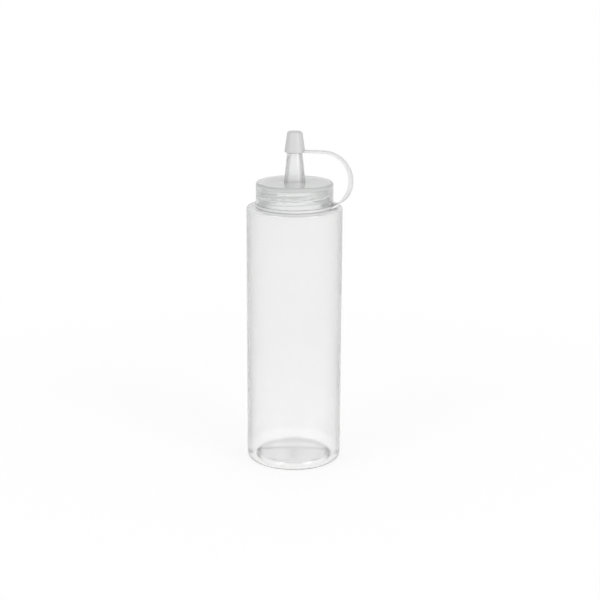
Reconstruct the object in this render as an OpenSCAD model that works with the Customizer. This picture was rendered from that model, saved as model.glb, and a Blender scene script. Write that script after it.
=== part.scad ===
// Squeeze bottle for sauces: a round bottle with a screw cap, a cone nozzle
// and a tip cap that hangs on a strap from a ring round the neck.
// Millimetres, +Z up. The origin is on the bottle's axis, on the plane it stands on.
// The camera side is -Y, and the strap leaves towards +X.

/* [Bottle body] */
// Outer diameter of the body
body_d = 51; // [44:0.5:80]
// Height of the flat shoulder above the table
shoulder_z = 139.8; // [60:0.1:220]
// Thickness of the blown wall
wall = 1.0; // [0.6:0.05:1.5]
// Radius of the edge round the base
base_edge_r = 2.8; // [1.8:0.1:5]
// Radius of the edge round the shoulder
shoulder_edge_r = 1.0; // [0.4:0.1:1.8]
// Radius of the edge inside the shoulder
inner_edge_r = 0.5; // [0.2:0.1:1]
// Width of the flat ring that the bottle stands on
foot_w = 3.7; // [2:0.1:6]
// Height of the step where the base is pushed up
push_up_side_h = 2.3; // [1.2:0.1:4]
// How far the step leans in over its height
push_up_draft = 0.6; // [0.1:0.1:1.5]
// Rise of the base's shallow dome above the step
push_up_crown = 1.4; // [0.5:0.1:3]

/* [Neck] */
// Outer diameter of the neck without its thread
neck_d = 35.2; // [30:0.1:38]
// Height of the neck above the shoulder
neck_h = 10.3; // [9.6:0.1:16]
// Thickness of the neck's wall
neck_wall = 1.8; // [1.2:0.1:2.6]

/* [Thread] */
// Rise of the thread in one turn
pitch = 4.2; // [3.8:0.1:5]
// Height of the thread's ridge
thread_h = 1.1; // [0.8:0.05:1.4]
// Width of the ridge where it leaves the wall
thread_root_w = 1.9; // [1.4:0.1:2.1]
// Width of the ridge at its crest
thread_crest_w = 0.9; // [0.5:0.1:1.3]
// Gap between a crest and the wall it faces
thread_gap = 0.35; // [0.2:0.05:0.6]
// Height above the shoulder at which the neck's ridge starts
thread_start_h = 3.2; // [2.6:0.1:4]
// Plain wall left between a ridge and the end of its wall
thread_margin = 0.3; // [0.2:0.1:0.6]

/* [Screw cap] */
// Thickness of the skirt
skirt_wall = 1.4; // [1:0.1:2.4]
// Thickness of the top
cap_top_t = 1.6; // [1:0.1:3]
// Radius of the edge round the top
cap_edge_r = 1.2; // [0.3:0.1:1.3]
// Radius of the edge round the skirt's rim
cap_rim_r = 0.2; // [0.1:0.1:0.6]

/* [Nozzle] */
// Outer diameter where the cone leaves the cap
nozzle_base_d = 11.3; // [9.6:0.1:15]
// Outer diameter at the tip
nozzle_tip_d = 6.5; // [5.5:0.1:8]
// Height of the cone above the cap
nozzle_h = 21.6; // [17:0.1:40]
// Thickness of the cone's wall
nozzle_wall = 1.05; // [0.8:0.05:1.4]
// Thickness of the cone's end round its hole
nozzle_end_t = 1.25; // [0.8:0.05:2]
// Diameter of the hole at the tip
orifice_d = 3.0; // [1:0.1:4]
// Thickness of the flange under the cap
flange_t = 1.2; // [0.8:0.1:2]
// How far the flange's edge lies inside the neck's
flange_inset = 0.2; // [0.1:0.1:0.8]

/* [Tip cap] */
// Height of the tip cap
tip_cap_h = 10.8; // [10:0.1:18]
// Length of nozzle inside the tip cap
grip = 5.8; // [4.5:0.1:6.6]
// Thickness of the side wall
tip_wall = 0.8; // [0.6:0.05:1.5]
// Thickness of the top
tip_top_t = 0.8; // [0.8:0.1:2]
// Outer diameter just under the edge round the top
tip_top_d = 8.2; // [7.8:0.1:9]
// Radius of the edge round the top
tip_edge_r = 1.2; // [0.6:0.1:2.4]
// Radial gap round the nozzle at the mouth
mouth_gap = 0.72; // [0.7:0.02:0.9]
// Radial gap round the nozzle's tip
tip_gap = 0.45; // [0.4:0.02:0.6]
// Radius of the hollow at its closed end
tip_hollow_r = 3.3; // [2.6:0.1:3.4]

/* [Tether] */
// Width of the ring from its bore to its edge
ring_w = 1.6; // [1.5:0.1:3.4]
// Thickness of the ring
ring_t = 1.4; // [1:0.1:2]
// Radial gap between the ring's bore and the neck's thread
ring_gap = 0.3; // [0.2:0.05:0.6]
// Width of the strap
strap_w = 5; // [3:0.1:7]
// Thickness of the strap
strap_t = 1.0; // [0.8:0.05:1.3]
// Width of the strap where it spreads into the ring
strap_root_w = 11; // [8:0.5:14]
// Length of the spreading root, as an angle on the strap's arc
root_deg = 22; // [14:1:30]
// Distance from the bottle's axis to the middle of the strap's farthest point
strap_reach = 30.5; // [29.5:0.1:34]
// How far the tether is turned round the neck, towards the viewer
tether_turn = 12; // [0:1:90]
// Place on the strap's arc, above its farthest point, where it folds
fold_deg = 60; // [55:1:70]

/* [Clearances] */
// Gap between flat faces that lie on each other
seat_gap = 0.05; // [0.05:0.01:0.1]
// Radial gap between the nozzle and the hole that it turns in
turn_gap = 0.05; // [0.02:0.01:0.1]
// Gap above and below the tether's ring
ring_play = 0.1; // [0.1:0.05:0.3]
// Gap between the two lengths of strap at the fold
fold_gap = 0.3; // [0.2:0.05:0.5]

/* [Hidden] */
$fn = 96;

body_r = body_d / 2;
neck_r = neck_d / 2;
neck_bore_r = neck_r - neck_wall;
neck_top_z = shoulder_z + neck_h;
thread_r = neck_r + thread_h;

// The push-up is a low step with a cap of a large sphere on it.
push_up_r = body_r - base_edge_r - foot_w;
dome_edge_r = push_up_r - push_up_draft;
dome_r = (dome_edge_r * dome_edge_r + push_up_crown * push_up_crown) / (2 * push_up_crown);
dome_z = push_up_side_h + push_up_crown - dome_r;

flange_z = neck_top_z + seat_gap;
flange_r = neck_r - flange_inset;
cap_under_z = flange_z + flange_t + seat_gap;
cap_top_z = cap_under_z + cap_top_t;
skirt_in_r = thread_r + thread_gap;
cap_r = skirt_in_r + skirt_wall;

nozzle_base_r = nozzle_base_d / 2;
nozzle_tip_r = nozzle_tip_d / 2;
nozzle_top_z = cap_top_z + nozzle_h;

// Outer radius of the cone at a height
function cone_r(z) = nozzle_base_r + (nozzle_tip_r - nozzle_base_r) * (z - cap_top_z) / nozzle_h;

tip_cap_z = nozzle_top_z - grip;
tip_cap_top_z = tip_cap_z + tip_cap_h;
mouth_r = cone_r(tip_cap_z) + mouth_gap;
hold_r = nozzle_tip_r + tip_gap;

ring_in_r = thread_r + ring_gap;
ring_r = ring_in_r + ring_w;
ring_z = shoulder_z + ring_play;
ring_top_z = ring_z + ring_t;
skirt_z = ring_top_z + ring_play;

// The strap leaves the tip cap level, and one arc takes it round and down to the ring.
// The arc touches the level line, reaches strap_reach and ends on the ring's edge.
strap_top_z = tip_cap_z + strap_t / 2;
strap_drop = strap_top_z - (ring_z + ring_t / 2);
strap_over = strap_reach - ring_r;
arc_r = strap_drop + strap_over - sqrt(2 * strap_drop * strap_over);
arc_x = strap_reach - arc_r;
arc_z = strap_top_z - arc_r;
end_deg = -asin((strap_drop - arc_r) / arc_r);

// The fold's axis lies in the strap's outer skin, so that the two lengths part as it turns.
fold_r = arc_r + strap_t / 2;
fold_x = arc_x + fold_r * cos(fold_deg);
fold_z = arc_z + fold_r * sin(fold_deg);

// The ridges of neck and cap run half a pitch apart, with the same lead.
lead_deg = 159;
thread_end_h = thread_root_w / 2 + thread_margin;
neck_thread_z = shoulder_z + thread_start_h;
neck_thread_deg = 360 * (neck_top_z - thread_end_h - neck_thread_z) / pitch;
cap_thread_z = skirt_z + thread_end_h;
cap_skip_deg = 360 * (cap_thread_z - neck_thread_z + pitch / 2) / pitch;
cap_thread_deg = 360 * (flange_z - thread_end_h - cap_thread_z) / pitch;
// The ridges run in steps of this angle, and fade in and out over this many of them.
thread_step_deg = 7.5;
thread_fade = 4;
// Depth to which a ridge is sunk into its wall
sink = 0.25;

// Length of strap that runs into the ring's edge and the tip cap's wall
bite = 0.4;
// Half of the fold's gap as an angle on the arc
gap_deg = fold_gap / 2 / arc_r * 180 / PI;
root_from_deg = end_deg + root_deg;
// Overlap of shapes that join, and overshoot of cuts
eps = 0.01;
over = 1;
fine_fn = 360;

// A disc's half section with a rounded lower and upper edge, for rotate_extrude
module rounded_half(r, z0, z1, low_r, high_r) {
  translate([0, z0 + low_r]) square([r, z1 - z0 - low_r - high_r]);
  translate([0, z0]) square([r - low_r, low_r + eps]);
  translate([0, z1 - high_r - eps]) square([r - high_r, high_r + eps]);
  translate([r - low_r, z0 + low_r]) circle(r = low_r);
  translate([r - high_r, z1 - high_r]) circle(r = high_r);
}

// A helical ridge on a round wall. It grows from root_r to crest_r and fades into the wall at both ends.
module ridge(root_r, crest_r, z0, start_deg, sweep_deg) {
  side = crest_r > root_r ? 1 : -1;
  steps = ceil(sweep_deg / thread_step_deg);
  function at(a, r, z) = [r * cos(a), r * sin(a), z];
  function section(i) = let (
      grow = min(1, i / thread_fade, (steps - i) / thread_fade),
      a = start_deg + sweep_deg * i / steps,
      z = z0 + pitch * sweep_deg * i / steps / 360,
      inner = root_r - side * sink,
      outer = root_r - side * sink / 2 + side * grow * (abs(crest_r - root_r) + sink / 2)
    ) [
      at(a, inner, z - thread_root_w / 2),
      at(a, outer, z - thread_crest_w / 2),
      at(a, outer, z + thread_crest_w / 2),
      at(a, inner, z + thread_root_w / 2)
    ];
  function quad(a, b, c, d) = side > 0 ? [[a, b, c], [a, c, d]] : [[a, c, b], [a, d, c]];
  faces = [
    for (i = [0 : steps - 1]) for (k = [0 : 3])
      each quad(4 * i + k, 4 * i + (k + 1) % 4, 4 * i + 4 + (k + 1) % 4, 4 * i + 4 + k),
    each quad(3, 2, 1, 0),
    each quad(4 * steps, 4 * steps + 1, 4 * steps + 2, 4 * steps + 3)
  ];
  polyhedron(points = [for (i = [0 : steps]) each section(i)], faces = faces, convexity = 6);
}

// Half section of the space that the base is pushed up round, or of its inner side one wall further in
module push_up(grow) {
  polygon([
    [0, -over], [push_up_r + grow, -over], [push_up_r + grow, 0],
    [dome_edge_r + grow, push_up_side_h + grow], [0, push_up_side_h + grow]
  ]);
  intersection() {
    translate([0, dome_z]) circle(r = dome_r + grow, $fn = fine_fn);
    translate([0, push_up_side_h]) square([dome_edge_r, push_up_crown + grow + over]);
  }
}

module bottle() color([0.93, 0.94, 0.94]) {
  difference() {
    union() {
      rotate_extrude() rounded_half(body_r, 0, shoulder_z, base_edge_r, shoulder_edge_r);
      translate([0, 0, shoulder_z - wall]) cylinder(r = neck_r, h = neck_h + wall);
    }
    rotate_extrude() difference() {
      rounded_half(body_r - wall, wall, shoulder_z - wall, base_edge_r - wall, inner_edge_r);
      push_up(wall);
    }
    translate([0, 0, shoulder_z - wall - over]) cylinder(r = neck_bore_r, h = neck_h + wall + 2 * over);
    rotate_extrude() push_up(0);
  }
  ridge(neck_r, thread_r, neck_thread_z, lead_deg, neck_thread_deg);
}

module screw_cap() color([0.84, 0.86, 0.85]) {
  difference() {
    rotate_extrude() rounded_half(cap_r, skirt_z, cap_top_z, cap_rim_r, cap_edge_r);
    translate([0, 0, skirt_z - over]) cylinder(r = skirt_in_r, h = cap_under_z - skirt_z + over);
    cylinder(r = nozzle_base_r + turn_gap, h = cap_top_z + over);
  }
  ridge(skirt_in_r, skirt_in_r - thread_h, cap_thread_z, lead_deg + cap_skip_deg, cap_thread_deg);
}

module nozzle() color([0.88, 0.88, 0.88]) difference() {
  union() {
    translate([0, 0, flange_z]) cylinder(r = flange_r, h = flange_t);
    translate([0, 0, flange_z]) cylinder(r = nozzle_base_r, h = cap_top_z - flange_z);
    translate([0, 0, cap_top_z]) cylinder(r1 = nozzle_base_r, r2 = nozzle_tip_r, h = nozzle_h);
  }
  translate([0, 0, flange_z - over])
    cylinder(r = nozzle_base_r - nozzle_wall, h = cap_top_z - flange_z + over + eps);
  translate([0, 0, cap_top_z])
    cylinder(r1 = nozzle_base_r - nozzle_wall, r2 = cone_r(nozzle_top_z - nozzle_end_t) - nozzle_wall,
             h = nozzle_h - nozzle_end_t);
  translate([0, 0, cap_top_z]) cylinder(d = orifice_d, h = nozzle_h + over);
}

module tether_ring() color([0.87, 0.87, 0.87]) difference() {
  translate([0, 0, ring_z]) cylinder(r = ring_r, h = ring_t);
  translate([0, 0, ring_z - over]) cylinder(r = ring_in_r, h = ring_t + 2 * over);
}

// A sector of the strap's arc in its own plane, x outwards and y up, from one angle to another
module arc_sector(from_deg, to_deg) {
  far = 3 * arc_r;
  intersection() {
    translate([arc_x, arc_z]) difference() {
      circle(r = arc_r + strap_t / 2, $fn = fine_fn);
      circle(r = arc_r - strap_t / 2, $fn = fine_fn);
    }
    translate([arc_x, arc_z]) polygon([
      [0, 0],
      for (k = [0 : 4]) let (a = from_deg + (to_deg - from_deg) * k / 4) [far * cos(a), far * sin(a)]
    ]);
  }
}

// Stands a shape drawn in the strap's plane up and turns it round the neck
module in_tether_plane(w) {
  rotate([0, 0, -tether_turn]) rotate([90, 0, 0]) linear_extrude(height = w, center = true) children();
}

module strap_lower() color([0.87, 0.87, 0.87]) {
  root_in_x = ring_r - bite;
  root_out_x = arc_x + arc_r * cos(root_from_deg);
  in_tether_plane(strap_w) arc_sector(root_from_deg - eps, fold_deg - gap_deg);
  intersection() {
    in_tether_plane(strap_root_w) arc_sector(end_deg - root_deg, root_from_deg);
    translate([0, 0, ring_z]) rotate([0, 0, -tether_turn]) linear_extrude(height = arc_r) polygon([
      [root_in_x, -strap_root_w / 2], [root_out_x, -strap_w / 2],
      [strap_reach, -strap_w / 2], [strap_reach, strap_w / 2],
      [root_out_x, strap_w / 2], [root_in_x, strap_root_w / 2]
    ]);
  }
}

module strap_upper() color([0.87, 0.87, 0.87]) in_tether_plane(strap_w) {
  strap_in_x = mouth_r + tip_wall - bite;
  arc_sector(fold_deg + gap_deg, 90);
  translate([strap_in_x, tip_cap_z]) square([arc_x - strap_in_x + eps, strap_t]);
}

module tip_cap() color([0.84, 0.84, 0.84]) {
  top_r = tip_top_d / 2;
  edge_z = tip_cap_top_z - tip_edge_r;
  cavity_top_z = tip_cap_top_z - tip_top_t;
  rotate_extrude() difference() {
    union() {
      polygon([[0, tip_cap_z], [mouth_r + tip_wall, tip_cap_z], [top_r, edge_z], [0, edge_z]]);
      translate([0, edge_z - eps]) square([top_r - tip_edge_r, tip_edge_r + eps]);
      translate([top_r - tip_edge_r, edge_z]) circle(r = tip_edge_r);
    }
    polygon([
      [0, tip_cap_z - over], [mouth_r, tip_cap_z - over], [mouth_r, tip_cap_z], [hold_r, nozzle_top_z],
      [tip_hollow_r, cavity_top_z], [0, cavity_top_z]
    ]);
  }
}

bottle();
screw_cap();
nozzle();
tether_ring();
strap_lower();
strap_upper();
tip_cap();
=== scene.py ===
import math

import bmesh
import bpy
from mathutils import Matrix, Vector, noise


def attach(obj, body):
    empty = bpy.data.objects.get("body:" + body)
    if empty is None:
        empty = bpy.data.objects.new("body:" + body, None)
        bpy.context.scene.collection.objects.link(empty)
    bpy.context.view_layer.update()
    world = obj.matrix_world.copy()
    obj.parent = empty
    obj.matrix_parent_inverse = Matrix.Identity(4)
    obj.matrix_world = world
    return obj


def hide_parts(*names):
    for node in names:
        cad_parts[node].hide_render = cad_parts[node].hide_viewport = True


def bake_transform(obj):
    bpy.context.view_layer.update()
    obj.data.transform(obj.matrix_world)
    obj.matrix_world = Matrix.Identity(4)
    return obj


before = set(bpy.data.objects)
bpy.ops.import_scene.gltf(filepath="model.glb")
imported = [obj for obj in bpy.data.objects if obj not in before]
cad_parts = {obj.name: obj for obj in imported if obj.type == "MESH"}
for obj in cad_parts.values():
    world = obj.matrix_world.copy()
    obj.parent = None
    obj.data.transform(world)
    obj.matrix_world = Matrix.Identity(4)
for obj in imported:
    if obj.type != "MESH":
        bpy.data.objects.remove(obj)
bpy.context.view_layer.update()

# Shapes are in millimetres and degrees, and turned into metres as a mesh is made.
MM = 0.001

# Bottle
BODY_R = 25.48
SHOULDER_Z = 139.8
WALL = 1.0
BASE_EDGE_R = 2.8
SHOULDER_EDGE_R = 1.0
INNER_EDGE_R = 0.5
SHOULDER_WALL = 0.75
PUSH_UP_R = 19.0
PUSH_UP_DRAFT = 0.6
PUSH_UP_SIDE_H = 2.3
PUSH_UP_CROWN = 1.4
NECK_R = 17.6
NECK_TOP_Z = 150.1
NECK_BORE_R = 15.8
NECK_RIM_R = 0.3
BORE_EDGE_R = 0.4
FOOT_EDGE_R = 0.4
TROUGH_EDGE = 0.35
CROWN_EDGE_R = 0.5

# Pinch-off seam across the base, parting lines up the sides, and the oval gate mark on the base
SEAM_TOP_Z = 5.0
SEAM_SAG = 1.1
SEAM_WEB_Z = 3.2
SEAM_W = 1.4
SEAM_OUT_H = 0.3
SEAM_FADE = 1.5
PARTING_H = 0.05
PARTING_W = 0.5
MARK_Y = -8.5
MARK_R = 2.2
MARK_LONG = 1.7
MARK_W = 0.6
MARK_H = 0.4

# Heights where the base's own surface ends and where the uneven inner wall starts, and its waves
BASE_ZONE_Z = 8
WAVE_ZONE_Z = 6
WAVE_H = 0.12
WAVE_ACROSS = 14
WAVE_UP = 34

# Screw ridges of the neck and the cap
PITCH = 4.2
THREAD_H = 1.1
THREAD_ROOT_W = 1.9
THREAD_CREST_W = 0.9
THREAD_LEAD = 159
THREAD_FADE = 30
THREAD_STEP = 0.2
NECK_THREAD_Z = 143.0
NECK_THREAD_SWEEP = 501
CAP_THREAD_Z = 142.65
CAP_THREAD_SWEEP = 535
CAP_THREAD_SKIP = 150

# Screw cap
SKIRT_Z = 141.4
SKIRT_IN_R = 19.05
CAP_UNDER_Z = 151.4
CAP_TOP_Z = 153.0
CAP_R = 20.45
CAP_EDGE_R = 1.2
CAP_RIM_R = 0.2
CAP_HOLE_R = 5.7
CAP_HOLE_EDGE = 0.12
CAP_HOLE_EDGE_IN = 0.1
CAP_FILLET_R = 0.4

# Nozzle
FLANGE_Z = 150.15
FLANGE_R = 17.4
FLANGE_T = 1.2
NOZZLE_BASE_R = 5.65
NOZZLE_TIP_R = 3.25
NOZZLE_TOP_Z = 174.6
NOZZLE_WALL = 1.05
NOZZLE_END_T = 1.25
ORIFICE_R = 1.5
ORIFICE_EDGE_R = 0.25
NOZZLE_EDGE_R = 0.35
FLANGE_EDGE_R = 0.3
BORE_LIP = 0.2

# Tip cap
TIP_CAP_Z = 168.8
TIP_CAP_TOP_Z = 179.6
TIP_WALL = 0.8
TIP_TOP_T = 0.8
TIP_TOP_R = 4.1
TIP_EDGE_R = 1.2
TIP_HOLLOW_R = 3.3
MOUTH_R = 4.615
HOLD_R = 3.7
TIP_RIM_R = 0.25
TIP_FILLET = 0.4
MOUTH_EDGE = 0.15

# Tether
RING_IN_R = 19.0
RING_R = 20.6
RING_Z = 139.9
RING_T = 1.4
RING_EDGE_R = 0.3
STRAP_W = 5.0
STRAP_T = 1.0
STRAP_ROOT_W = 11.0
STRAP_REACH = 30.1
STRAP_CORNER_R = 0.28
STRAP_IN_TIP = 0.45
STRAP_LOW_GAP = 0.08
ROOT_DEG = 22
ROOT_THINNER = 0.06
ROOT_STEP = 0.3
ROOT_STEP_DEG = 9
TETHER_TURN = 12

# The strap's roll towards the viewer, and the angles on its arc where it starts, grows and fades
ROLL_DEG = 16
ROLL_START = 60
ROLL_GROWTH = 90
ROLL_END = 58
ROLL_FADE = 26

# Camera, fitted to the photograph. Its clip distances are in metres.
CAMERA_X = 3.1
CAMERA_D = 740
CAMERA_H = 289
CAMERA_TILT = 15.16
CAMERA_ROLL = 0.28
FOCAL_PX = 1425
FRAME_PX = 600
SENSOR = 36
CLIP_NEAR = 0.01
CLIP_FAR = 50

SEGMENTS = 256

# How much milkier or clearer than its plastic a place is
BASE_MILK = 0.03
BASE_BACK_MILK = 0.15
SEAM_MILK = 0.55
FOOT_CLEAR = 0.07
SHOULDER_MILK = 0.45
NECK_CLEAR = 0.06
CAP_IN_CLEAR = 0.21
CAP_TOP_MILK = 0.08
RING_MILK = 0.35

# Painted shade: how far a place's colour is darkened towards black
WALL_PAINTED_SHADE = 0.022
SHOULDER_PAINTED_SHADE = 0.08
RING_PAINTED_SHADE = 0.17
TIP_PAINTED_SHADE = 0.2

# Plastics: haze patches, moulding grain, and the colour left after a long way through the material
PLASTIC_IOR = 1.48
HAZE_SCALE = 60
HAZE_DETAIL = 3
HAZE_LOW = 0.8
HAZE_HIGH = 1.2
GRAIN_SCALE = 900
GRAIN_DETAIL = 2
GRAIN_H = 0.02
BODY_TINT = (0.3, 0.31, 0.305)

# Each plastic's colour, its colour where a wall turns away, which is painted edge shade, the reach of
# that, its transmission, its roughness and its density
PLASTICS = {
    "bottle_plastic": ((0.99, 0.99, 0.99), (0.48, 0.48, 0.48), (0.2, 1.0), 0.92, 0.12, 12),
    "cap_plastic": ((0.98, 0.99, 0.985), (0.68, 0.7, 0.69), (0.25, 0.9), 0.76, 0.2, 4),
    "nozzle_plastic": ((0.99, 0.99, 0.99), (0.62, 0.62, 0.62), (0.05, 0.4), 0.8, 0.2, 9),
    "tether_plastic": ((0.8, 0.8, 0.8), (0.64, 0.64, 0.64), (0.1, 0.8), 0.25, 0.4, 15),
}

# White surroundings: light from the sides, and the smaller share of it that comes from overhead
SIDE_LIGHT = 0.95
TOP_LIGHT = 0.7

# White table. FLOOR_GLOW is its own light's share near the bottle. The share grows from FLOOR_NEAR
# on and is all of it at FLOOR_FAR. Lengths are in metres.
FLOOR_NEAR = 0.06
FLOOR_FAR = 0.4
FLOOR_GLOW = 0.82
FLOOR_SEEN_THROUGH = 0.96
FLOOR_WHITE = 0.95
FLOOR_ROUGH = 0.8
FLOOR_HALF = 3
FLOOR_CELLS = 8
FLOOR_DROP = 0.0002

# Lamps: places and size in metres, power in watts
KEY_PLACE = (-0.9, -0.9, 0.6)
KEY_WATTS = 5
FILL_PLACE = (0.9, -0.9, 0.5)
FILL_WATTS = 7
LAMP_SIZE = 0.7
LAMP_AIM = (0, 0, 0.09)


def smooth(t):
    """0 below 0, 1 above 1 and a soft step between."""
    t = max(0.0, min(1.0, t))
    return t * t * (3 - 2 * t)


def arc(cx, cz, r, start, end, steps=8):
    """Points of an arc in the half plane of radius and height, from one angle to another."""
    angles = [math.radians(start + (end - start) * i / steps) for i in range(steps + 1)]
    return [(cx + r * math.cos(a), cz + r * math.sin(a)) for a in angles]


def run(start, end, step):
    """Points between start and end, both left out, about one step apart."""
    count = max(1, round(math.dist(start, end) / step))
    shares = [i / count for i in range(1, count)]
    return [tuple(a + (b - a) * t for a, b in zip(start, end)) for t in shares]


def joined(step, *stretches):
    """One line of points through several stretches, with the straight gaps between them filled in."""
    line = list(stretches[0])
    for stretch in stretches[1:]:
        line += run(line[-1], stretch[0], step) + list(stretch)
    return line


def to_object(name, mesh, sharp=40):
    """Makes an object of a mesh, smooth but for edges sharper than the given angle."""
    data = bpy.data.meshes.new(name)
    mesh.to_mesh(data)
    mesh.free()
    obj = bpy.data.objects.new(name, data)
    bpy.context.scene.collection.objects.link(obj)
    data.shade_smooth()
    data.set_sharp_from_angle(angle=math.radians(sharp))
    return obj


def lathe(name, profile, shape=None, segments=SEGMENTS):
    """A solid of revolution from a line of (radius, height) points, closed by the axis or by itself.
    shape gives a point's own radius and height from its angle, radius and height."""
    mesh = bmesh.new()
    rings = []
    for r, z in profile:
        if r < 1e-6:
            rings.append([mesh.verts.new(Vector((0, 0, z)) * MM)])
            continue
        ring = []
        for k in range(segments):
            a = 2 * math.pi * k / segments
            own_r, own_z = shape(a, r, z) if shape else (r, z)
            ring.append(mesh.verts.new(Vector((own_r * math.cos(a), own_r * math.sin(a), own_z)) * MM))
        rings.append(ring)
    for low, high in zip(rings, rings[1:] + rings[:1]):
        if len(low) == 1 and len(high) == 1:
            continue
        for k in range(segments):
            j = (k + 1) % segments
            corners = [low[k % len(low)], low[j % len(low)], high[j % len(high)], high[k % len(high)]]
            mesh.faces.new(list(dict.fromkeys(corners)))
    bmesh.ops.recalc_face_normals(mesh, faces=mesh.faces[:])
    return to_object(name, mesh)


def ridge_height(a, z, start_z, sweep, lead):
    """How far a screw ridge stands out of its wall at an angle and a height."""
    turned = (math.degrees(a) - lead) % 360
    share = 0.0
    while turned <= sweep:
        off = abs(z - start_z - PITCH * turned / 360)
        side = (THREAD_ROOT_W / 2 - off) / ((THREAD_ROOT_W - THREAD_CREST_W) / 2)
        fade = min(turned, sweep - turned) / THREAD_FADE
        share = max(share, smooth(side) * smooth(fade))
        turned += 360
    return THREAD_H * share


def push_up_line(grow):
    """The base's pushed-up middle from the axis outwards, or its inner side one wall further in."""
    edge_r = PUSH_UP_R - PUSH_UP_DRAFT
    dome_r = (edge_r ** 2 + PUSH_UP_CROWN ** 2) / (2 * PUSH_UP_CROWN)
    dome_z = PUSH_UP_SIDE_H + PUSH_UP_CROWN - dome_r
    count = 32
    dome = [edge_r * i / count for i in range(count)]
    line = [(r, dome_z + math.sqrt((dome_r + grow) ** 2 - r ** 2)) for r in dome]
    corner = (edge_r + grow, PUSH_UP_SIDE_H + grow)
    line[0] = (0.0, line[0][1])
    return line + arc(corner[0] - CROWN_EDGE_R, corner[1] - CROWN_EDGE_R, CROWN_EDGE_R, 90, 14, 5)


def bottle_shape(a, r, z):
    """The blown bottle's own surface: neck ridge, parting lines, base seam and uneven inner wall."""
    x, y = r * math.cos(a), r * math.sin(a)
    if z > SHOULDER_Z + 0.5 and r > NECK_R - 0.1:
        return r + ridge_height(a, z, NECK_THREAD_Z, NECK_THREAD_SWEEP, THREAD_LEAD), z
    inside = z > WALL and r < BODY_R - WALL / 2 and z < SHOULDER_Z - SHOULDER_WALL / 2
    across = smooth(1 - abs(y) / SEAM_W)
    upper = z > PUSH_UP_SIDE_H + WALL * 0.7 + PUSH_UP_CROWN * (1 - (r / PUSH_UP_R) ** 2)
    if r < PUSH_UP_R + WALL and upper and z < BASE_ZONE_Z:
        ring = smooth(1 - abs(math.hypot(x, (y - MARK_Y) / MARK_LONG) - MARK_R) / MARK_W)
        seam_z = SEAM_TOP_Z - SEAM_SAG * (x / PUSH_UP_R) ** 2
        return r, z + max(0.0, seam_z - z) * across + MARK_H * ring
    if r < PUSH_UP_R and z < BASE_ZONE_Z:
        return r, z - SEAM_OUT_H * across * smooth((PUSH_UP_R - SEAM_FADE - r) / SEAM_FADE)
    if inside and z < SEAM_WEB_Z:
        return r, z + (SEAM_WEB_Z - z) * across
    if inside and z > WAVE_ZONE_Z:
        wave = noise.noise(Vector((x / WAVE_ACROSS, y / WAVE_ACROSS, z / WAVE_UP)))
        return r + WAVE_H * wave, z
    if r > BODY_R - 0.2:
        line = max(0.0, 1 - abs(math.sin(a)) * BODY_R / PARTING_W)
        return r - PARTING_H * (1 - line), z
    return r, z


def paint(obj, name, value_at):
    """Gives each point of a mesh a value from its place."""
    layer = obj.data.attributes.new(name, "FLOAT", "POINT")
    for vertex, value in zip(obj.data.vertices, layer.data):
        value.value = value_at(*(vertex.co / MM))


def bottle_milk(x, y, z):
    """How much milkier than its wall the bottle is: its base, most of all at the seam, and its shoulder."""
    r = math.hypot(x, y)
    if z < PUSH_UP_SIDE_H + PUSH_UP_CROWN + 2:
        across = smooth(1 - abs(y) / SEAM_W)
        inside = smooth(PUSH_UP_R - r)
        milk = BASE_MILK + BASE_BACK_MILK * smooth((2 - y) / 4) + SEAM_MILK * across
        return inside * milk - FOOT_CLEAR * (1 - inside)
    if z < SHOULDER_Z + 0.4:
        return SHOULDER_MILK * smooth(z - SHOULDER_Z + 1) * smooth(r - NECK_R)
    return -NECK_CLEAR


def bottle_painted_shade(x, y, z):
    """Painted shade: the wall's colour is darker higher up, and most of all at the shoulder."""
    return WALL_PAINTED_SHADE * smooth((z - 20) / 50) + SHOULDER_PAINTED_SHADE * smooth(z - SHOULDER_Z + 1.5)


def make_bottle():
    inner_r = BODY_R - WALL
    inner_z = SHOULDER_Z - SHOULDER_WALL
    outside_base = push_up_line(0)
    foot = arc(PUSH_UP_R + FOOT_EDGE_R, FOOT_EDGE_R, FOOT_EDGE_R, 190, 270, 5)
    base_edge = arc(BODY_R - BASE_EDGE_R, BASE_EDGE_R, BASE_EDGE_R, -90, 0, 12)
    shoulder = arc(BODY_R - SHOULDER_EDGE_R, SHOULDER_Z - SHOULDER_EDGE_R, SHOULDER_EDGE_R, 0, 90, 8)
    neck_root = [(NECK_R + 0.35, SHOULDER_Z), (NECK_R + 0.1, SHOULDER_Z + 0.1), (NECK_R, SHOULDER_Z + 0.35)]
    neck_low = [(NECK_R, SHOULDER_Z + 0.6)]
    rim_z = NECK_TOP_Z - NECK_RIM_R
    rim = arc(NECK_R - NECK_RIM_R, rim_z, NECK_RIM_R, 0, 90, 4)
    rim += arc(NECK_BORE_R + NECK_RIM_R, rim_z, NECK_RIM_R, 90, 180, 4)
    bore_end = arc(NECK_BORE_R + BORE_EDGE_R, inner_z + BORE_EDGE_R, BORE_EDGE_R, 180, 270, 4)
    top_in = arc(inner_r - INNER_EDGE_R, inner_z - INNER_EDGE_R, INNER_EDGE_R, 90, 0, 6)
    low_in = arc(inner_r - BASE_EDGE_R + WALL, BASE_EDGE_R, BASE_EDGE_R - WALL, 0, -90, 10)
    trough = [(PUSH_UP_R + WALL + TROUGH_EDGE, WALL), (PUSH_UP_R + WALL, WALL + TROUGH_EDGE)]
    inside_base = push_up_line(WALL)[::-1]
    neck = joined(THREAD_STEP, neck_low, rim)
    upto_neck = joined(2.5, outside_base, foot, base_edge, shoulder, neck_root)
    rest = joined(2.5, bore_end, top_in, low_in, trough, inside_base)
    bottle = lathe("bottle_body", joined(1.0, upto_neck, neck, rest), bottle_shape)
    paint(bottle, "milk", bottle_milk)
    # Painted shade: the wall's colour darkens higher up and at the shoulder
    paint(bottle, "painted_shade", bottle_painted_shade)
    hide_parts("bottle")
    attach(bottle, "bottle")
    return bottle


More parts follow.
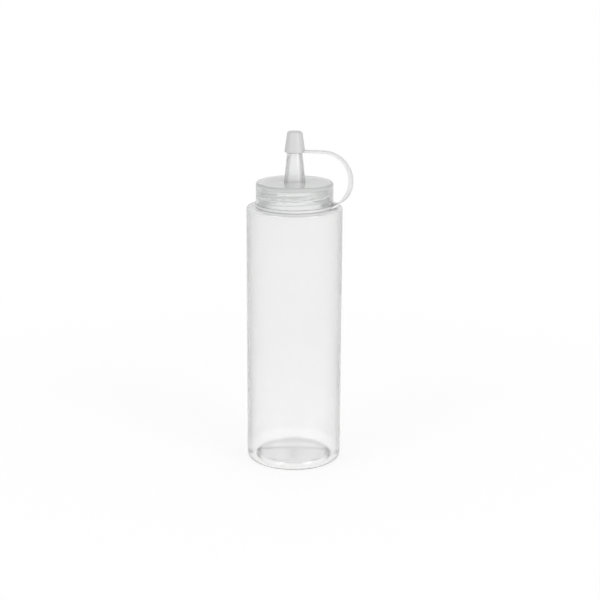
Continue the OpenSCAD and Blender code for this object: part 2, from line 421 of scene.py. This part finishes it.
def cap_shape(a, r, z):
    if abs(r - SKIRT_IN_R) < 0.02 and z < CAP_UNDER_Z - 0.5:
        return r - ridge_height(a, z, CAP_THREAD_Z, CAP_THREAD_SWEEP, THREAD_LEAD + CAP_THREAD_SKIP), z
    return r, z


def cap_milk(x, y, z):
    """The cap is clear on its inner side, and milkier on its top than on its skirt."""
    if math.hypot(x, y) < SKIRT_IN_R + 0.3 and z < CAP_UNDER_Z + 0.2:
        return -CAP_IN_CLEAR
    return CAP_TOP_MILK * smooth(z - CAP_TOP_Z + 2)


def make_screw_cap():
    hole = [(CAP_HOLE_R, CAP_UNDER_Z + CAP_HOLE_EDGE_IN), (CAP_HOLE_R, CAP_TOP_Z - CAP_HOLE_EDGE)]
    hole.append((CAP_HOLE_R + CAP_HOLE_EDGE, CAP_TOP_Z))
    edge = arc(CAP_R - CAP_EDGE_R, CAP_TOP_Z - CAP_EDGE_R, CAP_EDGE_R, 90, 0, 8)
    rim = arc(CAP_R - CAP_RIM_R, SKIRT_Z + CAP_RIM_R, CAP_RIM_R, 0, -90, 4)
    rim_in = arc(SKIRT_IN_R + CAP_RIM_R, SKIRT_Z + CAP_RIM_R, CAP_RIM_R, -90, -180, 4)
    inner_top = arc(SKIRT_IN_R - CAP_FILLET_R, CAP_UNDER_Z - CAP_FILLET_R, CAP_FILLET_R, 0, 90, 4)
    outside = joined(1.5, hole, edge, rim, rim_in)
    profile = joined(THREAD_STEP, outside, inner_top[:1]) + inner_top[1:]
    profile = joined(1.5, profile, [(CAP_HOLE_R + CAP_HOLE_EDGE_IN, CAP_UNDER_Z)])
    cap = lathe("cap", profile, cap_shape)
    paint(cap, "milk", cap_milk)
    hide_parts("screw_cap")
    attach(cap, "screw_cap")
    return cap


def make_nozzle():
    flange_top = FLANGE_Z + FLANGE_T
    bore_r = NOZZLE_BASE_R - NOZZLE_WALL
    slope = (NOZZLE_TIP_R - NOZZLE_BASE_R) / (NOZZLE_TOP_Z - CAP_TOP_Z)
    end_z = NOZZLE_TOP_Z - NOZZLE_END_T
    end_r = NOZZLE_TIP_R - slope * NOZZLE_END_T - NOZZLE_WALL
    edge_r = FLANGE_EDGE_R
    flange = arc(FLANGE_R - edge_r, FLANGE_Z + edge_r, edge_r, -90, 0, 4)
    flange += arc(FLANGE_R - edge_r, flange_top - edge_r, edge_r, 0, 90, 4)
    root = [(NOZZLE_BASE_R, flange_top), (NOZZLE_BASE_R, CAP_TOP_Z)]
    tip = arc(NOZZLE_TIP_R - NOZZLE_EDGE_R, NOZZLE_TOP_Z - NOZZLE_EDGE_R, NOZZLE_EDGE_R, 0, 90, 5)
    orifice = arc(ORIFICE_R + ORIFICE_EDGE_R, NOZZLE_TOP_Z - ORIFICE_EDGE_R, ORIFICE_EDGE_R, 90, 180, 4)
    inside = [(ORIFICE_R, end_z), (end_r, end_z), (bore_r, CAP_TOP_Z), (bore_r, FLANGE_Z)]
    lip = [(bore_r + BORE_LIP, FLANGE_Z)]
    profile = joined(1.2, lip, flange, root, tip, orifice, inside[:2], inside[2:])
    nozzle = lathe("spout", profile, segments=160)
    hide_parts("nozzle")
    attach(nozzle, "nozzle")
    return nozzle


def make_tip_cap():
    mouth_out = MOUTH_R + TIP_WALL
    cavity_top = TIP_CAP_TOP_Z - TIP_TOP_T
    edge_z = TIP_CAP_TOP_Z - TIP_EDGE_R
    rim = arc(mouth_out - TIP_RIM_R, TIP_CAP_Z + TIP_RIM_R, TIP_RIM_R, -90, 0, 4)
    edge = arc(TIP_TOP_R - TIP_EDGE_R, edge_z, TIP_EDGE_R, 0, 90, 12)
    top = [(0.0, TIP_CAP_TOP_Z)]
    cavity = [(0.0, cavity_top), (TIP_HOLLOW_R - TIP_FILLET, cavity_top)]
    hold = [(TIP_HOLLOW_R, cavity_top - TIP_FILLET), (HOLD_R, NOZZLE_TOP_Z)]
    mouth = [(MOUTH_R, TIP_CAP_Z + MOUTH_EDGE), (MOUTH_R + MOUTH_EDGE, TIP_CAP_Z)]
    outer = joined(0.9, rim, edge, top)
    inner = joined(0.9, cavity, hold, mouth)
    return lathe("tip_part", outer + inner, segments=128)


def make_ring():
    e = RING_EDGE_R
    top_z = RING_Z + RING_T
    profile = arc(RING_R - e, RING_Z + e, e, -90, 0, 4)
    profile += arc(RING_R - e, top_z - e, e, 0, 90, 4)
    profile += arc(RING_IN_R + e, top_z - e, e, 90, 180, 4)
    profile += arc(RING_IN_R + e, RING_Z + e, e, 180, 270, 4)
    return lathe("ring_part", profile)


def strap_stations():
    """The strap's centre line in the tether's plane. Each point has its place outward and up, the
    angle of the strap's outer face and its share of the wide root."""
    top_z = TIP_CAP_Z + STRAP_T / 2
    drop = top_z - RING_Z - RING_T / 2
    over = STRAP_REACH - RING_R
    r = drop + over - math.sqrt(2 * drop * over)
    cx, cz = STRAP_REACH - r, top_z - r
    end = -math.degrees(math.asin((drop - r) / r))
    inner_end = MOUTH_R + TIP_WALL - STRAP_IN_TIP
    stations = [(x, top_z, 90.0, 0.0) for x, _ in [(inner_end, 0)] + run((inner_end, 0), (cx, 0), 1.0)]
    count = 64
    for i in range(count + 1):
        a = 90 + (end - 90) * i / count
        x = cx + r * math.cos(math.radians(a))
        z = cz + r * math.sin(math.radians(a))
        stations.append((x, z, a, smooth((end + ROOT_DEG - a) / ROOT_DEG)))
    x, z, a, _ = stations[-1]
    for i in range(1, 4):
        stations.append((x - ROOT_STEP * i, z, a - ROOT_STEP_DEG * i, 1.0))
    return stations


def strap_roll(a):
    """How far the strap's outer face turns to the viewer, at the angle where it lies on its arc."""
    return ROLL_DEG * smooth((ROLL_START - a) / ROLL_GROWTH) * smooth((a + ROLL_END) / ROLL_FADE)


def make_strap():
    out = Vector((math.cos(math.radians(TETHER_TURN)), -math.sin(math.radians(TETHER_TURN)), 0))
    up = Vector((0, 0, 1))
    across = Vector((-out.y, out.x, 0))
    mesh = bmesh.new()
    rings = []
    for x, z, a, root in strap_stations():
        normal = out * math.cos(math.radians(a)) + up * math.sin(math.radians(a))
        roll = math.radians(strap_roll(a))
        face = normal * math.cos(roll) - across * math.sin(roll)
        wide = across * math.cos(roll) + normal * math.sin(roll)
        half_w = (STRAP_W + (STRAP_ROOT_W - STRAP_W) * root) / 2 - STRAP_CORNER_R
        half_t = STRAP_T / 2 * (1 - ROOT_THINNER * root) - STRAP_CORNER_R
        section = []
        for sx, sy, start in ((1, 1, 0), (-1, 1, 90), (-1, -1, 180), (1, -1, 270)):
            section += arc(sx * half_w, sy * half_t, STRAP_CORNER_R, start, start + 90, 3)
        centre = out * x + up * z
        ring = []
        for u, v in section:
            point = centre + wide * u + face * v
            point.z = max(point.z, RING_Z + STRAP_LOW_GAP)
            ring.append(mesh.verts.new(point * MM))
        rings.append(ring)
    n = len(rings[0])
    for low, high in zip(rings, rings[1:]):
        for k in range(n):
            j = (k + 1) % n
            mesh.faces.new((low[k], low[j], high[j], high[k]))
    mesh.faces.new(rings[0][::-1])
    mesh.faces.new(rings[-1])
    bmesh.ops.recalc_face_normals(mesh, faces=mesh.faces[:])
    return to_object("strap_part", mesh)


def union(target, *others):
    """Joins the other solids into the target and removes them."""
    for other in others:
        mod = target.modifiers.new("join", "BOOLEAN")
        mod.operation = "UNION"
        mod.solver = "EXACT"
        mod.object = other
    dg = bpy.context.evaluated_depsgraph_get()
    data = bpy.data.meshes.new_from_object(target.evaluated_get(dg))
    target.modifiers.clear()
    target.data = data
    for other in others:
        bpy.data.objects.remove(other)
    return target


def tether_milk(x, y, z):
    """The ring is milkier than the strap."""
    return RING_MILK * smooth(RING_Z + RING_T + 1 - z)


def tether_painted_shade(x, y, z):
    """Painted shade: the ring's and the tip cap's colour is darker than the strap between them."""
    ring = smooth(RING_Z + RING_T + 1 - z)
    tip = smooth(MOUTH_R + TIP_WALL + 1 - math.hypot(x, y)) * smooth(z - TIP_CAP_Z + 1)
    return RING_PAINTED_SHADE * ring + TIP_PAINTED_SHADE * tip


def make_tether():
    tether = union(make_strap(), make_ring(), make_tip_cap())
    tether.name = "tether"
    tether.data.shade_smooth()
    tether.data.set_sharp_from_angle(angle=math.radians(40))
    paint(tether, "milk", tether_milk)
    # Painted shade: the colour of the ring and the tip cap darkens
    paint(tether, "painted_shade", tether_painted_shade)
    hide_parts("tether_ring", "strap_lower", "strap_upper", "tip_cap")
    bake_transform(tether)
    return tether


def add_node(tree, kind, inputs=None, **settings):
    """Adds a shader node and gives its outputs. An input is a plain value or another node's output."""
    node = tree.nodes.new("ShaderNode" + kind)
    for key, value in settings.items():
        setattr(node, key, value)
    for key, value in (inputs or {}).items():
        if isinstance(value, bpy.types.NodeSocket):
            tree.links.new(value, node.inputs[key])
        else:
            node.inputs[key].default_value = value
    return node.outputs


def math_node(tree, operation, a, b):
    return add_node(tree, "Math", {0: a, 1: b}, operation=operation)["Value"]


def plastic(name, color, edge, edge_shade_reach, transmission, rough, density):
    """A translucent plastic. On walls that don't face up, its colour goes over to the edge colour as
    the surface turns away from the view, between the two values of its reach: this is painted edge
    shade. Its body darkens with the length of the way through it. The mesh's own values make a place
    milkier, or darken its colour with painted shade."""
    mat = bpy.data.materials.new(name)
    mat.use_nodes = True
    tree = mat.node_tree
    shader = tree.nodes["Principled BSDF"].inputs
    shader["Base Color"].default_value = (*color, 1)
    shader["Transmission Weight"].default_value = transmission
    shader["IOR"].default_value = PLASTIC_IOR
    coords = add_node(tree, "TexCoord")

    # Painted edge shade: the colour darkens towards the edge colour as a wall turns away from the view
    facing = add_node(tree, "LayerWeight")["Facing"]
    span = {"Value": facing, "From Min": edge_shade_reach[0], "From Max": edge_shade_reach[1]}
    turned = add_node(tree, "MapRange", span)["Result"]
    level = add_node(tree, "SeparateXYZ", {"Vector": coords["Normal"]})["Z"]
    upward = add_node(tree, "MapRange", {"Value": level})["Result"]
    upright = math_node(tree, "SUBTRACT", 1, math_node(tree, "MULTIPLY", upward, upward))
    share = math_node(tree, "MULTIPLY", math_node(tree, "MULTIPLY", turned, turned), upright)
    colors = {"Factor": share, "A": (*color, 1), "B": (*edge, 1)}
    edge_shaded_color = add_node(tree, "Mix", colors, data_type="RGBA")["Result"]
    # Painted shade: each point's value darkens the colour towards black
    painted_shade = add_node(tree, "Attribute", attribute_name="painted_shade")["Fac"]
    colors = {"Factor": painted_shade, "A": edge_shaded_color, "B": (0, 0, 0, 1)}
    tree.links.new(add_node(tree, "Mix", colors, data_type="RGBA")["Result"], shader["Base Color"])

    milk = add_node(tree, "Attribute", attribute_name="milk")["Fac"]
    tree.links.new(math_node(tree, "SUBTRACT", transmission, milk), shader["Transmission Weight"])

    patches = {"Vector": coords["Object"], "Scale": HAZE_SCALE, "Detail": HAZE_DETAIL}
    haze = add_node(tree, "TexNoise", patches)["Fac"]
    span = {"Value": haze, "To Min": rough * HAZE_LOW, "To Max": rough * HAZE_HIGH}
    tree.links.new(add_node(tree, "MapRange", span)["Result"], shader["Roughness"])

    specks = {"Vector": coords["Object"], "Scale": GRAIN_SCALE, "Detail": GRAIN_DETAIL}
    grain = add_node(tree, "TexNoise", specks)["Fac"]
    bump = add_node(tree, "Bump", {"Height": grain, "Strength": 1, "Distance": GRAIN_H * MM})
    tree.links.new(bump["Normal"], shader["Normal"])

    body = add_node(tree, "VolumeAbsorption", {"Color": (*BODY_TINT, 1), "Density": density})
    tree.links.new(body["Volume"], tree.nodes["Material Output"].inputs["Volume"])
    return mat


def dress(obj, mat):
    obj.data.materials.clear()
    obj.data.materials.append(mat)


def make_world():
    """White all round for the camera, for reflections and through the plastic. As a light it is
    weaker, most of all overhead."""
    world = bpy.data.worlds.new("world")
    bpy.context.scene.world = world
    world.use_nodes = True
    tree = world.node_tree
    back = tree.nodes["Background"].inputs
    back["Color"].default_value = (1, 1, 1, 1)
    path = add_node(tree, "LightPath")
    direct = math_node(tree, "MAXIMUM", path["Is Camera Ray"], path["Is Transmission Ray"])
    seen = math_node(tree, "MAXIMUM", direct, path["Is Glossy Ray"])
    coords = add_node(tree, "TexCoord")
    height = add_node(tree, "SeparateXYZ", {"Vector": coords["Generated"]})["Z"]
    span = {"Value": height, "To Min": SIDE_LIGHT, "To Max": TOP_LIGHT}
    light = add_node(tree, "MapRange", span)["Result"]
    level = add_node(tree, "MapRange", {"Value": seen, "To Min": light, "To Max": 1.0})["Result"]
    tree.links.new(level, back["Strength"])


def make_floor():
    """A white table. It mostly glows by itself, a little less near the bottle, where a faint shadow
    shows, and it runs out into the white background."""
    mesh = bmesh.new()
    bmesh.ops.create_grid(mesh, x_segments=FLOOR_CELLS, y_segments=FLOOR_CELLS, size=FLOOR_HALF)
    floor = to_object("floor", mesh)
    floor.location.z = -FLOOR_DROP
    mat = bpy.data.materials.new("floor")
    mat.use_nodes = True
    tree = mat.node_tree
    lit = tree.nodes["Principled BSDF"]
    lit.inputs["Base Color"].default_value = (FLOOR_WHITE, FLOOR_WHITE, FLOOR_WHITE, 1)
    lit.inputs["Roughness"].default_value = FLOOR_ROUGH
    plain = add_node(tree, "Emission")["Emission"]
    coords = add_node(tree, "TexCoord")
    distance = add_node(tree, "VectorMath", {0: coords["Object"]}, operation="LENGTH")["Value"]
    span = {"Value": distance, "From Min": FLOOR_NEAR, "From Max": FLOOR_FAR, "To Min": FLOOR_GLOW}
    far = add_node(tree, "MapRange", span, interpolation_type="SMOOTHSTEP")["Result"]
    path = add_node(tree, "LightPath")
    through = math_node(tree, "MULTIPLY", path["Is Transmission Ray"], FLOOR_SEEN_THROUGH)
    share = math_node(tree, "MAXIMUM", far, through)
    blend = add_node(tree, "MixShader", {"Fac": share, 1: lit.outputs["BSDF"], 2: plain})
    tree.links.new(blend["Shader"], tree.nodes["Material Output"].inputs["Surface"])
    dress(floor, mat)


def make_lamp(name, place, watts):
    data = bpy.data.lights.new(name, "AREA")
    data.shape = "DISK"
    data.size = LAMP_SIZE
    data.energy = watts
    lamp = bpy.data.objects.new(name, data)
    bpy.context.scene.collection.objects.link(lamp)
    lamp.location = place
    aim = Vector(LAMP_AIM) - Vector(place)
    lamp.rotation_euler = aim.to_track_quat("-Z", "Y").to_euler()


def make_camera():
    data = bpy.data.cameras.new("camera")
    data.sensor_width = SENSOR
    data.lens = SENSOR * FOCAL_PX / FRAME_PX
    data.clip_start = CLIP_NEAR
    data.clip_end = CLIP_FAR
    camera = bpy.data.objects.new("camera", data)
    bpy.context.scene.collection.objects.link(camera)
    camera.location = Vector((CAMERA_X, -CAMERA_D, CAMERA_H)) * MM
    tilt = Matrix.Rotation(math.radians(90 - CAMERA_TILT), 3, "X")
    roll = Matrix.Rotation(math.radians(CAMERA_ROLL), 3, "Z")
    camera.rotation_euler = (tilt @ roll).to_euler()
    bpy.context.scene.camera = camera


bottle = make_bottle()
cap = make_screw_cap()
nozzle = make_nozzle()
tether = make_tether()
dressed = {
    "bottle_plastic": bottle,
    "cap_plastic": cap,
    "nozzle_plastic": nozzle,
    "tether_plastic": tether,
}
for name, piece in dressed.items():
    dress(piece, plastic(name, *PLASTICS[name]))
make_world()
make_floor()
make_lamp("key", KEY_PLACE, KEY_WATTS)
make_lamp("fill", FILL_PLACE, FILL_WATTS)
make_camera()

bpy.context.scene.view_settings.view_transform = "Standard"
